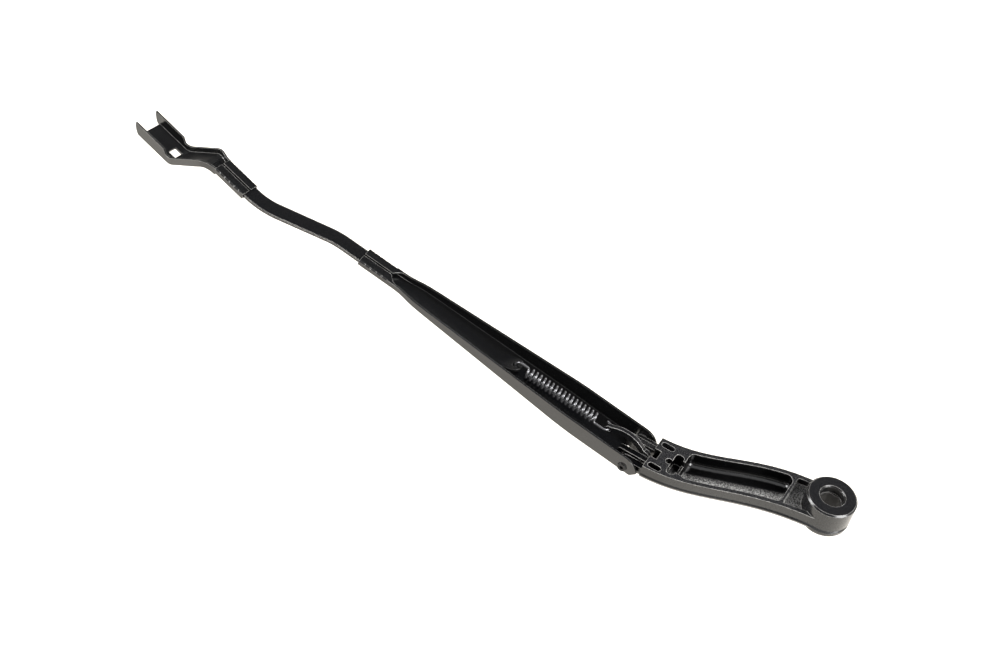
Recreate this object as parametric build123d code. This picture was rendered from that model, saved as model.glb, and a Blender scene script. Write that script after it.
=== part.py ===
from build123d import *
import os
from math import atan2, cos, degrees, hypot, radians, sin, sqrt, tan

# Windscreen wiper arm, in millimetres and degrees.
# The origin is on the pivot bore at the boss's underside face, +Z points out of the bore towards the
# glass, and +X runs along the arm to its tip, so the arm lies with its open underside upwards.

# Pivot boss and its bore
BOSS_R = 15.0
BACK_Z = -20.0
BOSS_EDGE = 1.0
BACK_ROUND = 3.0
BORE_R = 7.0
BORE_LAND = 5.0
THROAT_R = 6.4
BORE_FLATS = 11.4
BORE_MOUTH = 0.8
NUT_SEAT_R = 10.5
NUT_SEAT_DEPTH = 6.0

# Die-cast head, from the boss to the hinge
HINGE_X = 109.8
HINGE_Y = 31.0
HINGE_Z = -16.1
RIM_Z = -7.8
SHOULDER_X = 99.2
SHOULDER_WIDTH = 26.6
HEAD_ROUND = 5.5
HEAD_WALL = 3.0
HEAD_FLOOR = 3.6
TROUGH_CORNER = 4.0
TROUGH_ROUND = 3.4
NECK_FAR_Y = -12.0
NEAR_SLOPE = 6.0
FAR_SLOPE = 0.5
SHOULDER_SLOPE = 3.0
BOSS_OVERLAP = 0.5
BOSS_PULL = 49.0
SHOULDER_PULL = 37.0
RIB_X = 23.0
RIB_WIDTH = 1.8
PLATFORM_DROP = 4.0
CHANNEL_END_X = 80.4
TRENCH_X = 81.9
TRENCH_WIDTH = 5.0
TRENCH_LENGTH = 16.5
TRENCH_WALL_DROP = 4.5
POCKET_X = 93.4
POCKET_LENGTH = 8.2
POCKET_WIDTH = 3.8
POCKET_SPREAD = 18.4
POCKET_DEPTH = 6.0
PEEP_X = 88.4
PEEP_R = 2.0
SLOT_X = 95.0
SLOT_WIDTH = 7.0
SLOT_FLOOR_Z = -16.6

# Hinge lugs, bushes, rivets and the link's pin
WEB_THICKNESS = 3.7
WEB_TOP_Z = -10.0
NOSE = 7.4
NOSE_DROP = 1.2
NOSE_ROUND = 1.6
RIVET_R = 2.0
RIVET_HEAD_R = 3.0
RIVET_HEAD_H = 0.9
RIVET_DIMPLE_R = 1.3
BUSH_R = 3.0
BUSH_FLANGE = 1.0
PRESS_GAP = 0.02
RUNNING_GAP = 0.05
SIDE_GAP = 0.3
LINK_PIN_R = 1.9
LINK_PIN_BACK = 6.5
LINK_PIN_UP = 4.0

# Retainer channel, in the arm's own frame: origin on the hinge axis, x along the arm, z to the underside
FREE_ANGLE = 8.4
SHEET = 1.2
RETAINER_WIDTH = 28.0
RIM_UP = 7.8
FLOOR_DOWN = 3.9
FLOOR_REAR = 4.6
STRAIGHT_LENGTH = 45.0
TAPER_END = 161.0
TAPER_BLEND = 160.0
REAR_REACH = 8.9
REAR_CORNER_UP = 1.4
REAR_CURVE_START = 0.5
REAR_CURVE_BACK = 5.2
REAR_CURVE_UP = 5.9
REAR_FOOT = 4.0
FLOOR_RISE_START = 34.0
CHANNEL_ROUND = 2.0
CRIMP_START = 170.4
CRIMP_LENGTH = 19.6
TAB_SLIT = 1.2
NOTCH_R = 0.6
CRIMP_NOTCHES = 4

# Flat bar
BAR_WIDTH = 8.8
BAR_THICKNESS = 2.2
BAR_FLOOR_UP = 3.1
BAR_INSERT = 1.5
BAR_EDGE = 0.5
BAR_LEG_1 = 38.7
BAR_LEG_2 = 45.4
BAR_LEG_3 = 12.0
BAR_TURN = 16.0
TIP_TURN = 11.2
BEND_R_1 = 45.0
BEND_R_2 = 32.0

# Tip bracket, in its own frame: x from the clamp's rear end along the bracket
CLAMP_LENGTH = 23.0
CLAMP_NOTCHES = 5
NECK_START = 30.0
NECK_RUN = 21.0
NECK_DROP = 19.4
NECK_LIP = 4.2
NECK_BEND_R = 7.5
FORK_WIDTH = 17.6
FORK_HEIGHT = 7.0
FORK_START = 58.5
FORK_END = 82.0
FORK_OVERHANG = 5.5
FORK_STEP = 2.6
BUTTON_HOLE = 5.6
BUTTON_X = 55.0

# Tension spring and its anchor tongue
WIRE_R = 0.75
WIRE_SIDES = 6
COIL_R = 3.0
COIL_START = 28.0
COIL_LENGTH = 43.0
COIL_TURNS = 17
TURN_STEPS = 14
HOOK_STEPS = 24
HOOK_BEND_R = 1.5
ANCHOR_X = 83.0
ANCHOR_UP = 3.9
TONGUE_ROOT = 93.0
TONGUE_WIDTH = 9.0
EYE_R = 1.6

# Curved link between the spring and the head
LINK_WIDTH = 3.5
LINK_DEPTH = 4.0
LINK_EYE_X = 18.2
LINK_EYE_UP = 5.3
LINK_CREST_X = 8.7
LINK_CREST_UP = 7.8
LINK_REAR_R = 3.2
LINK_FRONT_R = 2.5
LINK_HOLE_R = 1.45

LUG_R = HINGE_Z - BACK_Z
WEB_OUTER = SLOT_WIDTH / 2 + WEB_THICKNESS
CRIMP_HALF = BAR_WIDTH / 2 + SHEET
CRIMP_FLOOR_UP = BAR_FLOOR_UP - SHEET
TAB_UP = BAR_FLOOR_UP + BAR_THICKNESS + SHEET
RETAINER_HALF = RETAINER_WIDTH / 2
LUG_HALF = RETAINER_HALF - SHEET - SIDE_GAP - BUSH_FLANGE
CRIMP_END = CRIMP_START + CRIMP_LENGTH
ABOVE = 60.0

HINGE = Location((HINGE_X, HINGE_Y, HINGE_Z))
ARM = Location((HINGE_X, HINGE_Y, HINGE_Z), (0, -FREE_ANGLE, 0))
SIDE = Plane.XZ


def at(x, y, z):
    """A plain move."""
    return Location((x, y, z))


def block(x0, x1, y0, y1, z0, z1):
    """A box between two corners."""
    corner = (Align.MIN, Align.MIN, Align.MIN)
    return at(x0, y0, z0) * Box(x1 - x0, y1 - y0, z1 - z0, align=corner)


def crosswise(profile, half):
    """A side profile, drawn as (x, z) on the XZ plane, made solid across Y."""
    return extrude(SIDE * profile, amount=half, both=True)


def cross_pin(x, z, radius, y0, y1):
    """A round bar along Y."""
    bar = Cylinder(radius, y1 - y0, align=(Align.CENTER, Align.CENTER, Align.MIN))
    return at(x, y0, z) * Rotation(-90, 0, 0) * bar


def head_edge(start, start_slope, end):
    """One side of the head in plan: a cubic that leaves and arrives at set slopes."""
    lead = radians(start_slope)
    back = radians(SHOULDER_SLOPE)
    first = (start[0] + BOSS_PULL * cos(lead), start[1] + BOSS_PULL * sin(lead))
    second = (end[0] - SHOULDER_PULL * cos(back), end[1] - SHOULDER_PULL * sin(back))
    return Bezier(start, first, second, end)


def head_plan(inset):
    """The head's outline in plan, from the boss to the hinge shoulder, moved in by a wall."""
    half = SHOULDER_WIDTH / 2 - inset
    lean = radians(NEAR_SLOPE)
    reach = BOSS_R - BOSS_OVERLAP - inset
    near_start = (-reach * sin(lean), reach * cos(lean))
    far_start = (0, NECK_FAR_Y + inset)
    near = head_edge(near_start, NEAR_SLOPE, (SHOULDER_X, HINGE_Y + half))
    far = head_edge(far_start, FAR_SLOPE, (SHOULDER_X, HINGE_Y - half))
    ends = [Line(near @ 1, far @ 1), Line(far @ 0, near @ 0)]
    return make_face([near, far] + ends)


def head_shell():
    """The S-shaped trough of the head, with rounded outer edges and an open underside."""
    height = RIM_Z - BACK_Z
    body = at(0, 0, BACK_Z) * extrude(head_plan(0), amount=height, dir=(0, 0, 1))
    long_edges = body.edges().filter_by_position(Axis.Z, BACK_Z, BACK_Z).sort_by(SortBy.LENGTH)[-2:]
    body = fillet(long_edges, HEAD_ROUND)
    floor_z = BACK_Z + HEAD_FLOOR
    stretch = Rectangle(CHANNEL_END_X - RIB_X - RIB_WIDTH / 2, 4 * ABOVE, align=(Align.MAX, Align.CENTER))
    hollow = head_plan(HEAD_WALL) & at(CHANNEL_END_X, 0, 0) * stretch
    hollow = fillet(hollow.vertices(), TROUGH_CORNER)
    trough = at(0, 0, floor_z) * extrude(hollow, amount=height, dir=(0, 0, 1))
    trough = fillet(trough.faces().sort_by(Axis.Z)[0].edges(), TROUGH_ROUND)
    return body - trough


def boss():
    """The pivot boss with its keyed bore and the nut's seat in the back."""
    post = at(0, 0, BACK_Z) * Cylinder(BOSS_R, -BACK_Z, align=(Align.CENTER, Align.CENTER, Align.MIN))
    post = fillet(post.edges().group_by(Axis.Z)[0], BACK_ROUND)
    return chamfer(post.edges().group_by(Axis.Z)[-1], BOSS_EDGE)


def bore_cut():
    """Mouth chamfer, round land, two-flat throat and nut seat, as one cutting solid."""
    low = (Align.CENTER, Align.CENTER, Align.MIN)
    land = at(0, 0, -BORE_LAND) * Cylinder(BORE_R, BORE_LAND + 1, align=low)
    mouth = at(0, 0, -BORE_MOUTH) * Cone(BORE_R, BORE_R + 2 * BORE_MOUTH, 2 * BORE_MOUTH, align=low)
    throat = at(0, 0, BACK_Z) * Cylinder(THROAT_R, -BACK_Z, align=low)
    throat &= Box(2 * THROAT_R, BORE_FLATS, -4 * BACK_Z)
    seat = at(0, 0, BACK_Z - 1) * Cylinder(NUT_SEAT_R, NUT_SEAT_DEPTH + 1, align=low)
    return land + mouth + throat + seat


def hinge_end_cuts():
    """Pockets, peep hole, cross trench and the link's slot in the head's hinge end."""
    height = RIM_Z - BACK_Z
    bottom = RIM_Z - POCKET_DEPTH
    pocket = SlotOverall(POCKET_LENGTH, POCKET_WIDTH)
    cuts = []
    for side in (-1, 1):
        place = at(POCKET_X, HINGE_Y + side * POCKET_SPREAD / 2, bottom)
        cuts.append(place * extrude(pocket, amount=height))
    cuts.append(at(PEEP_X, HINGE_Y, bottom) * extrude(Circle(PEEP_R), amount=height))
    trench = RectangleRounded(TRENCH_WIDTH, TRENCH_LENGTH, TRENCH_WIDTH * 0.35)
    trench_place = at(TRENCH_X + TRENCH_WIDTH / 2, HINGE_Y, BACK_Z + HEAD_FLOOR)
    cuts.append(trench_place * extrude(trench, amount=height))
    wall = block(CHANNEL_END_X - HEAD_WALL, TRENCH_X + 1, HINGE_Y - TRENCH_LENGTH / 2 + HEAD_WALL,
                 HINGE_Y + TRENCH_LENGTH / 2 - HEAD_WALL, RIM_Z - TRENCH_WALL_DROP, 0)
    cuts.append(wall)
    half = SLOT_WIDTH / 2
    ahead = HINGE_X + NOSE + 5
    cuts.append(block(SLOT_X, ahead, HINGE_Y - half, HINGE_Y + half, SLOT_FLOOR_Z, 0))
    return cuts


def lugs():
    """Two hinge lugs: a tall web beside the slot and a lower, wider pin boss outside it."""
    back = SHOULDER_X - HINGE_X - 1
    web_up = WEB_TOP_Z - HINGE_Z
    nose_down = -NOSE_DROP
    root = make_face(Polyline((back, -LUG_R), (0, -LUG_R), (0, web_up), (back, web_up), close=True))
    nose = make_face(Polyline((0, nose_down), (NOSE, nose_down), (NOSE, web_up), (0, web_up), close=True))
    nose = fillet(nose.vertices().sort_by(Axis.X)[-2:], NOSE_ROUND)
    eye = Circle(LUG_R)
    web = crosswise(root + nose + eye, WEB_OUTER)
    base = block(back, 0, -LUG_HALF, LUG_HALF, -LUG_R, LUG_R)
    base = fillet(base.edges().filter_by(Axis.X).group_by(Axis.Z)[0], LUG_R)
    return HINGE * (web + base + crosswise(eye, LUG_HALF))


def link_clearance():
    """The gap between the lugs, open to the back ahead of the link's pin."""
    pin = (ARM * at(-LINK_PIN_BACK, 0, LINK_PIN_UP)).position
    start = pin.X - LINK_REAR_R - SIDE_GAP
    half = SLOT_WIDTH / 2
    return block(start, HINGE_X + NOSE + 5, HINGE_Y - half, HINGE_Y + half, BACK_Z - 5, 0)


def arm_head():
    """The die-cast head, one piece from the pivot boss to the hinge lugs."""
    platform = block(0, RIB_X - RIB_WIDTH / 2, -ABOVE, ABOVE, RIM_Z - PLATFORM_DROP, 0)
    platform &= at(0, 0, BACK_Z) * extrude(head_plan(HEAD_WALL), amount=-BACK_Z, dir=(0, 0, 1))
    head = boss() + (head_shell() - platform) + lugs()
    for cut in hinge_end_cuts():
        head -= cut
    head -= link_clearance()
    head -= bore_cut()
    head -= HINGE * cross_pin(0, 0, BUSH_R + PRESS_GAP, -LUG_HALF - 1, LUG_HALF + 1)
    head -= ARM * cross_pin(-LINK_PIN_BACK, LINK_PIN_UP, LINK_PIN_R + PRESS_GAP, -WEB_OUTER, WEB_OUTER)
    return head


def link_pin():
    """The pin across the head's slot that holds the curved link."""
    return ARM * cross_pin(-LINK_PIN_BACK, LINK_PIN_UP, LINK_PIN_R, -WEB_OUTER, WEB_OUTER)


def hinge_bushes():
    """Two flanged bearing bushes, pressed into the lugs from outside."""
    bushes = []
    inner = SLOT_WIDTH / 2
    for side in (-1, 1):
        ends = sorted((side * inner, side * LUG_HALF))
        faces = sorted((side * LUG_HALF, side * (LUG_HALF + BUSH_FLANGE)))
        bush = cross_pin(0, 0, BUSH_R, *ends) + cross_pin(0, 0, LUG_R, *faces)
        bush -= cross_pin(0, 0, RIVET_R + RUNNING_GAP, -ABOVE, ABOVE)
        bushes.append(HINGE * bush)
    return Compound(children=bushes)


def rivet():
    """One stub rivet on the near side: shank, domed head and hollow end."""
    inner = SLOT_WIDTH / 2
    shank = cross_pin(0, 0, RIVET_R, inner, RETAINER_HALF)
    head = cross_pin(0, 0, RIVET_HEAD_R, RETAINER_HALF, RETAINER_HALF + RIVET_HEAD_H)
    rim = head.edges().filter_by(GeomType.CIRCLE).sort_by(Axis.Y)[-1]
    head = chamfer(rim, RIVET_HEAD_H * 0.5)
    face = RETAINER_HALF + RIVET_HEAD_H
    return shank + head - cross_pin(0, 0, RIVET_DIMPLE_R, face - RIVET_DIMPLE_R, face)


def hinge_rivets():
    """The pair of stub rivets, one through each flange and lug."""
    near = rivet()
    return Compound(children=[ARM * near, ARM * mirror(near, about=Plane.XZ)])


def retainer_plan(inset):
    """Half-widths of the channel in plan, moved in by the sheet."""
    wide = RETAINER_HALF - inset
    slim = CRIMP_HALF - inset
    rear = -REAR_REACH - inset
    front = CRIMP_START
    near = [(rear, wide), (STRAIGHT_LENGTH, wide), (TAPER_END, slim), (front, slim)]
    far = [(x, -y) for x, y in reversed(near)]
    face = make_face(Polyline(*near, *far, close=True))
    bends = [v for v in face.vertices() if rear + 1 < v.X < front - 1]
    return fillet(bends, TAPER_BLEND)


def retainer_floor(lift):
    """The underside of the channel seen from the side, raised by the sheet, up to well above the rims."""
    line = [(-REAR_REACH - 9, lift - FLOOR_DOWN), (FLOOR_RISE_START, lift - FLOOR_DOWN),
            (TAPER_END, lift + CRIMP_FLOOR_UP), (CRIMP_END, lift + CRIMP_FLOOR_UP)]
    top = [(CRIMP_END, ABOVE), (-REAR_REACH - 9, ABOVE)]
    face = make_face(Polyline(*line, *top, close=True))
    bends = [v for v in face.vertices() if FLOOR_RISE_START - 1 < v.X < TAPER_END + 1]
    return fillet(bends, TAPER_BLEND)


def flange_side():
    """Side outline of the flanges: straight rim, curved rear end and cut-back lower corner."""
    rear = (-REAR_REACH, REAR_CORNER_UP)
    curve = ThreePointArc((REAR_CURVE_START, RIM_UP), (-REAR_CURVE_BACK, REAR_CURVE_UP), rear)
    low = -FLOOR_DOWN - 1
    rest = Polyline(rear, (-REAR_FOOT, low), (CRIMP_START, low), (CRIMP_START, TAB_UP),
                    (TAPER_END, TAB_UP), (STRAIGHT_LENGTH, RIM_UP), (REAR_CURVE_START, RIM_UP))
    return make_face([curve, rest])


def crimp_tube(x0, x1, notches):
    """The folded end that grips the bar: floor, sides and two tabs that meet over the bar with a slit."""
    tube = block(x0, x1, -CRIMP_HALF, CRIMP_HALF, CRIMP_FLOOR_UP, TAB_UP)
    tube = fillet(tube.edges().filter_by(Axis.X).group_by(Axis.Z)[-1], SHEET * 0.8)
    tube = fillet(tube.edges().filter_by(Axis.X).group_by(Axis.Z)[0], CHANNEL_ROUND)
    tube -= bar_space(x0, x1)
    tube -= block(x0, x1, -TAB_SLIT / 2, TAB_SLIT / 2, TAB_UP - SHEET, TAB_UP)
    pitch = (x1 - x0) / (notches + 1)
    for index in range(notches):
        for side in (-1, 1):
            place = at(x0 + pitch * (index + 1), side * CRIMP_HALF, TAB_UP)
            tube -= place * Rotation(side * 45, 0, 0) * Cylinder(NOTCH_R, 3 * NOTCH_R)
    return tube


def bar_space(x0, x1):
    """The room that the bar takes inside a crimp."""
    half = BAR_WIDTH / 2
    return block(x0, x1, -half, half, BAR_FLOOR_UP, BAR_FLOOR_UP + BAR_THICKNESS)


def fold_tabs():
    """The start of each folded tab, whose free edge curves from the upright flange to the crimp's slit."""
    tabs = []
    root = CRIMP_HALF - SHEET / 2
    bulge = TAPER_END + (CRIMP_START - TAPER_END) * sqrt(0.5)
    for side in (-1, 1):
        corner = (TAPER_END, side * root)
        slit = (CRIMP_START, side * TAB_SLIT / 2)
        straight = Polyline(corner, (CRIMP_START, side * root), slit)
        curve = ThreePointArc(slit, (bulge, side * root * sqrt(0.5)), corner)
        plate = extrude(make_face([straight, curve]), amount=SHEET, dir=(0, 0, 1))
        tabs.append(at(0, 0, TAB_UP - SHEET) * plate)
    return tabs


def tongue():
    """The anchor tongue: it rises from the floor towards the spring and ends in a round eye."""
    root_up = floor_inner(TONGUE_ROOT)
    slope = degrees(atan2(ANCHOR_UP - root_up, TONGUE_ROOT - ANCHOR_X))
    reach = hypot(TONGUE_ROOT - ANCHOR_X, ANCHOR_UP - root_up)
    half = TONGUE_WIDTH / 2
    strip = Rectangle(reach + half, TONGUE_WIDTH, align=(Align.MAX, Align.CENTER))
    strip = at(half, 0, 0) * strip + at(-reach, 0, 0) * Circle(half)
    strip -= at(-reach, 0, 0) * Circle(EYE_R)
    plate = extrude(strip, amount=SHEET / 2, both=True)
    plate = at(TONGUE_ROOT, 0, root_up - SHEET / 2) * Rotation(0, slope, 0) * plate
    return plate


def floor_inner(x):
    """Height of the channel floor's inner face at a station on its rising stretch."""
    share = (x - FLOOR_RISE_START) / (TAPER_END - FLOOR_RISE_START)
    return SHEET - FLOOR_DOWN + share * (CRIMP_FLOOR_UP + FLOOR_DOWN)


def retainer():
    """The pressed channel: tapered U section, hinge flanges, anchor tongue and crimped front end."""
    outer = extrude(retainer_plan(0), amount=ABOVE, both=True)
    outer &= crosswise(retainer_floor(0), RETAINER_WIDTH)
    low_edges = [e for e in outer.edges() if e.center().Z < RIM_UP and abs(e.center().Y) > 1]
    outer = fillet(low_edges, CHANNEL_ROUND)
    inner = extrude(retainer_plan(SHEET), amount=ABOVE, both=True)
    inner &= crosswise(retainer_floor(SHEET), RETAINER_WIDTH)
    channel = outer - inner
    channel &= crosswise(flange_side(), RETAINER_WIDTH)
    half = RETAINER_HALF - SHEET
    channel -= block(-ABOVE, FLOOR_REAR, -half, half, -ABOVE, RIM_UP)
    body = channel + tongue() + crimp_tube(CRIMP_START, CRIMP_END, CRIMP_NOTCHES)
    for tab in fold_tabs():
        body += tab
    body -= cross_pin(0, 0, RIVET_R + PRESS_GAP, -ABOVE, ABOVE)
    return ARM * body


def bar_path():
    """The bar's centre line in plan: three legs with two edgewise bends, ending inside the clamp."""
    start = Vector(CRIMP_START + BAR_INSERT, 0)
    first = Vector(CRIMP_START + BAR_LEG_1, 0)
    second = first + Vector(BAR_LEG_2, 0).rotate(Axis.Z, BAR_TURN)
    end = second + Vector(BAR_LEG_3 + CLAMP_LENGTH - BAR_INSERT, 0).rotate(Axis.Z, -TIP_TURN)
    return FilletPolyline(start, first, second, end, radius=[BEND_R_1, BEND_R_2])


def clamp_place():
    """Where the bracket's clamp starts on the bar's last leg, in the arm's frame."""
    first = Vector(CRIMP_START + BAR_LEG_1, 0)
    second = first + Vector(BAR_LEG_2, 0).rotate(Axis.Z, BAR_TURN)
    spot = second + Vector(BAR_LEG_3, 0).rotate(Axis.Z, -TIP_TURN)
    return Location((spot.X, spot.Y, 0), (0, 0, -TIP_TURN))


def flat_bar():
    """The flat steel bar with rounded long edges."""
    path = bar_path()
    middle = BAR_FLOOR_UP + BAR_THICKNESS / 2
    section = Rotation(0, 0, 90) * RectangleRounded(BAR_WIDTH, BAR_THICKNESS, BAR_EDGE)
    section = Plane(origin=path @ 0, z_dir=path % 0) * section
    return ARM * at(0, 0, middle) * sweep(section, path=path)


def bracket_line(lift, radius_in, radius_out):
    """The bracket's floor from the side, from the clamp down the neck to the fork."""
    pitch = atan2(NECK_DROP, NECK_RUN)
    shift = lift * tan(pitch / 2)
    level = CRIMP_FLOOR_UP + lift
    points = [(CLAMP_LENGTH - 1, level), (NECK_START + shift, level),
              (NECK_START + NECK_RUN + shift, level - NECK_DROP), (FORK_END + 5, level - NECK_DROP)]
    return FilletPolyline(*points, radius=[radius_in, radius_out])


def above_line(line, top):
    """The area from a floor line up to a level."""
    start = line @ 0
    end = line @ 1
    return make_face([line, Polyline(end, (end.X, top), (start.X, top), start)])


def bracket_plan(inset):
    """The bracket's outline in plan: clamp width, then widening down the neck to the fork."""
    slim = CRIMP_HALF - inset
    wide = FORK_WIDTH / 2 - inset
    near = [(CLAMP_LENGTH - 2, slim), (NECK_START, slim)]
    near += [(NECK_START + NECK_RUN, wide), (FORK_END + 2, wide)]
    far = [(x, -y) for x, y in reversed(near)]
    face = make_face(Polyline(*near, *far, close=True))
    bends = [v for v in face.vertices() if CLAMP_LENGTH < v.X < FORK_END]
    return fillet(bends, NECK_RUN * 0.6)


def fork_side():
    """Side outline of the lips along the neck and of the fork's flanges with their rounded tips."""
    low = CRIMP_FLOOR_UP - NECK_DROP
    high = low + FORK_HEIGHT
    lip = bracket_line(NECK_LIP, NECK_BEND_R + NECK_LIP, NECK_BEND_R)
    lips = crosswise(above_line(lip, ABOVE), FORK_WIDTH)
    floor_end = FORK_END - FORK_OVERHANG
    rear = FORK_START - FORK_STEP
    base = low - 1
    sides = Polyline((floor_end, base), (rear, base), (rear, low + NECK_LIP), (FORK_START, high),
                     (FORK_END, high))
    belly = (FORK_END - FORK_OVERHANG * 0.35, low + FORK_HEIGHT * 0.35)
    tip = ThreePointArc((FORK_END, high), belly, (floor_end, base))
    flange = crosswise(make_face([sides, tip]), FORK_WIDTH)
    neck = block(CLAMP_LENGTH - 1, floor_end, -FORK_WIDTH, FORK_WIDTH, base, ABOVE) - lips
    return neck + flange


def tip_bracket():
    """The pressed tip: clamp on the bar, stepped neck and the channel for the blade's adapter."""
    outer_line = bracket_line(0, NECK_BEND_R, NECK_BEND_R + SHEET)
    inner_line = bracket_line(SHEET, NECK_BEND_R + SHEET, NECK_BEND_R)
    outer = crosswise(above_line(outer_line, ABOVE), FORK_WIDTH)
    outer &= extrude(bracket_plan(0), amount=ABOVE, both=True)
    inner = crosswise(above_line(inner_line, ABOVE), FORK_WIDTH)
    inner &= extrude(bracket_plan(SHEET), amount=ABOVE, both=True)
    body = (outer - inner) & fork_side()
    half = FORK_WIDTH / 2 - SHEET
    body -= block(FORK_END - FORK_OVERHANG, FORK_END + 5, -half, half, -ABOVE, ABOVE)
    body -= at(BUTTON_X, 0, CRIMP_FLOOR_UP - NECK_DROP) * Box(BUTTON_HOLE, BUTTON_HOLE, 4 * SHEET)
    body += crimp_tube(0, CLAMP_LENGTH, CLAMP_NOTCHES)
    return ARM * clamp_place() * body


def spring_axis():
    """The spring's own frame: x along its axis from the link's eye to the anchor's eye."""
    pull = degrees(atan2(ANCHOR_UP - LINK_EYE_UP, ANCHOR_X - LINK_EYE_X))
    return Location((LINK_EYE_X, 0, LINK_EYE_UP), (0, -pull, 0))


def hook_line(hook_r, room, way):
    """Centre line of one hook, from the coil's end to a half turn whose middle lies at the eye."""
    bend_end = Vector(way * HOOK_BEND_R, COIL_R, way * HOOK_BEND_R)
    bend_mid = Vector(way * HOOK_BEND_R * (1 - sqrt(0.5)), COIL_R, way * HOOK_BEND_R * sqrt(0.5))
    bend = ThreePointArc((0, COIL_R, 0), bend_mid, bend_end)
    run_end = Vector(way * (room - hook_r), bend_end.Y, bend_end.Z)
    run = Line(bend_end, run_end)
    crown = ThreePointArc(run_end, (way * room, 0, 0), Vector(run_end.X, -run_end.Y, -run_end.Z))
    return Wire([bend, run, crown])


def spring_line():
    """The spring's centre line as (point, direction) pairs: rear hook, coil, front hook."""
    length = hypot(ANCHOR_X - LINK_EYE_X, ANCHOR_UP - LINK_EYE_UP)
    coil_start = COIL_START - LINK_EYE_X
    front_room = length - coil_start - COIL_LENGTH
    hook_r = hypot(COIL_R, HOOK_BEND_R)
    lead = degrees(atan2(HOOK_BEND_R, COIL_R))
    turns = COIL_TURNS + (90 - 2 * lead) / 360
    coil = Plane.YZ.offset(coil_start) * Helix(COIL_LENGTH / turns, COIL_LENGTH, COIL_R)
    coil = Rotation(lead, 0, 0) * coil
    rear = at(coil_start, 0, 0) * Rotation(lead, 0, 0) * hook_line(hook_r, coil_start, -1)
    front = at(coil_start + COIL_LENGTH, 0, 0) * Rotation(90 - lead, 0, 0) * hook_line(hook_r, front_room, 1)
    coil_steps = round(turns * TURN_STEPS)
    line = [(rear @ (1 - i / HOOK_STEPS), -(rear % (1 - i / HOOK_STEPS))) for i in range(HOOK_STEPS)]
    line += [(coil @ (i / coil_steps), coil % (i / coil_steps)) for i in range(coil_steps)]
    line += [(front @ (i / HOOK_STEPS), front % (i / HOOK_STEPS)) for i in range(HOOK_STEPS + 1)]
    return line


def spring():
    """The tension spring: an open coil with a hook across the link's eye and one down the anchor's eye."""
    sections = []
    side = Vector(0, 0, 1)
    for spot, ahead in spring_line():
        side = (side - ahead * side.dot(ahead)).normalized()
        sections.append(Plane(origin=spot, x_dir=side, z_dir=ahead) * RegularPolygon(WIRE_R, WIRE_SIDES))
    return ARM * spring_axis() * loft(sections, ruled=True)


def spring_link():
    """The curved link: an arched plate with an eye on the head's pin and an eye for the spring's hook."""
    pin = (-LINK_PIN_BACK, LINK_PIN_UP)
    eye = (LINK_EYE_X, LINK_EYE_UP)
    arch = ThreePointArc(pin, (LINK_CREST_X, LINK_CREST_UP), eye)
    strap = trace(arch, LINK_DEPTH)
    plate = strap + Pos(*pin) * Circle(LINK_REAR_R) + Pos(*eye) * Circle(LINK_FRONT_R)
    plate -= Pos(*pin) * Circle(LINK_PIN_R + RUNNING_GAP)
    plate -= Pos(*eye) * Circle(LINK_HOLE_R)
    return ARM * crosswise(plate, LINK_WIDTH / 2)


def main():
    """Make every piece and write one file for each."""
    os.makedirs("parts", exist_ok=True)
    pieces = {
        "arm_head": arm_head(),
        "link_pin": link_pin(),
        "hinge_bushes": hinge_bushes(),
        "hinge_rivets": hinge_rivets(),
        "retainer": retainer(),
        "flat_bar": flat_bar(),
        "tip_bracket": tip_bracket(),
        "spring": spring(),
        "spring_link": spring_link(),
    }
    for name, shape in pieces.items():
        export_step(shape, f"parts/{name}.step")


if __name__ == "__main__":
    main()
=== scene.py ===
"""Looks of a windscreen wiper arm: painted casting and sheet, spring wire, and a pale studio."""
import logging
import math
from dataclasses import dataclass, field
from enum import Enum
from typing import ClassVar, Optional, Union

import bmesh
import bpy
from mathutils import Matrix, Vector


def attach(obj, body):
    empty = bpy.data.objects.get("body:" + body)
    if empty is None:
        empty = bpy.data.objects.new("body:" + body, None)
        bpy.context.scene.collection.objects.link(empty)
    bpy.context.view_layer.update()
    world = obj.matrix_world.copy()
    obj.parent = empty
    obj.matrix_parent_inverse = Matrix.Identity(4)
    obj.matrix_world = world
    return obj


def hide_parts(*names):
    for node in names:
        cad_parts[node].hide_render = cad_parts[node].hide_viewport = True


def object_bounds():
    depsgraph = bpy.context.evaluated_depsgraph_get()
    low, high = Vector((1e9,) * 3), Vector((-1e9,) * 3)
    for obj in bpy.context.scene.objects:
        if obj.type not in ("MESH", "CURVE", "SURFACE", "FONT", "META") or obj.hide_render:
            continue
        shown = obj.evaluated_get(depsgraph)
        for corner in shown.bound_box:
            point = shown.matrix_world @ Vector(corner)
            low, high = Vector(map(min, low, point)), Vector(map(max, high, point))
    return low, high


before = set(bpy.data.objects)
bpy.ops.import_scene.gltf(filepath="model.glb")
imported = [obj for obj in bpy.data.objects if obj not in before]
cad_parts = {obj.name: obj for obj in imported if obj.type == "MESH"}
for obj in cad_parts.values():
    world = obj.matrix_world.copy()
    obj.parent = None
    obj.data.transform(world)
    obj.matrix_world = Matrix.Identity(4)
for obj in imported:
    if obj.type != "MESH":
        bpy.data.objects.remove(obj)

log = logging.getLogger("wiper_arm")

Triple = tuple[float, float, float]
Colour = Triple
Range = tuple[float, float]
Stations = tuple[Range, ...]
Line = list[Vector]
Socket = bpy.types.NodeSocket
Sockets = bpy.types.bpy_prop_collection
Operand = Union[Socket, float]
Paint = Union[Socket, Colour]

CAD_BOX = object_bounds()

# Places that the arm's own frame and the tip bracket's own frame start from.
HINGE_SPOT = Vector((0.1098, 0.031, -0.0161))
FREE_ANGLE = math.radians(8.4)
BRACKET_SPOT = Vector((0.264512, 0.010183, 0.0))
BRACKET_TURN = math.radians(-11.2)

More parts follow.
